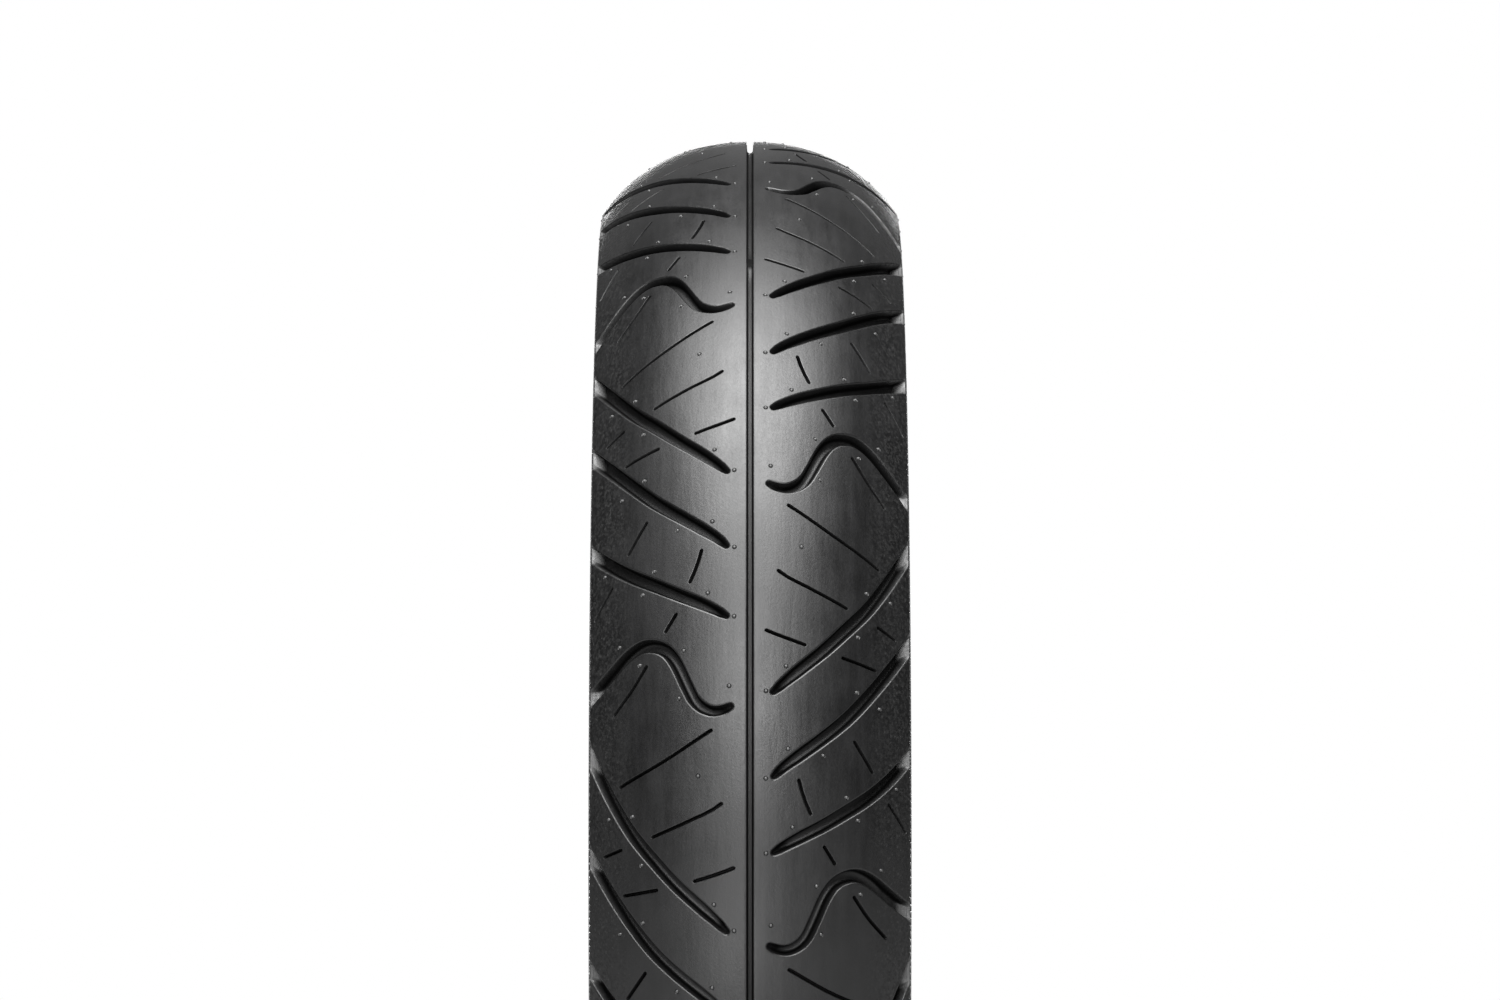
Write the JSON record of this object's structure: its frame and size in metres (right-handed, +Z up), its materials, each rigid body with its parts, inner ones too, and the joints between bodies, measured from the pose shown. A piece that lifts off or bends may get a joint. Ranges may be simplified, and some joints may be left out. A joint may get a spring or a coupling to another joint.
{
  "type": "motorcycle tyre",
  "caption": "Tubeless bias-belted motorcycle tyre with a grooved round tread, two sidewalls, fabric plies and wire beads.",
  "frame": {"origin": "centre of the wheel: on the axis, in the tyre's mid-plane", "axes": "+Y along the wheel's axis, +Z up through the crown's top, +X forward"},
  "size_m": [0.614, 0.13, 0.614],
  "materials": {
    "tread_rubber": "satin",
    "base_rubber": "matte",
    "side_rubber": "satin",
    "rim_rubber": "satin",
    "liner_rubber": "semi-gloss",
    "apex_rubber": "matte",
    "ply_fabric": "matte, rubbered cord",
    "belt_fabric": "matte, rubbered cord",
    "chafer_fabric": "matte weave",
    "bead_steel": "bronze-coated"
  },
  "bodies": {
    "root": {"tread_cap": "tread_rubber", "tread_base": "base_rubber", "breaker_outer": "belt_fabric", "breaker_inner": "belt_fabric", "breaker_cushion_right": "base_rubber", "breaker_cushion_left": "base_rubber", "ply_outer": "ply_fabric", "ply_inner": "ply_fabric", "inner_liner": "liner_rubber", "sidewall_right": "side_rubber", "sidewall_left": "side_rubber", "rim_strip_right": "rim_rubber", "rim_strip_left": "rim_rubber", "chafer_cloth_right": "chafer_fabric", "chafer_cloth_left": "chafer_fabric", "apex_right": "apex_rubber", "apex_left": "apex_rubber", "bead_wrap_right": "chafer_fabric", "bead_wrap_left": "chafer_fabric", "bead_wires_right": "bead_steel", "bead_wires_left": "bead_steel", "bead_insulation_right": "apex_rubber", "bead_insulation_left": "apex_rubber"}
  },
  "joints": []
}
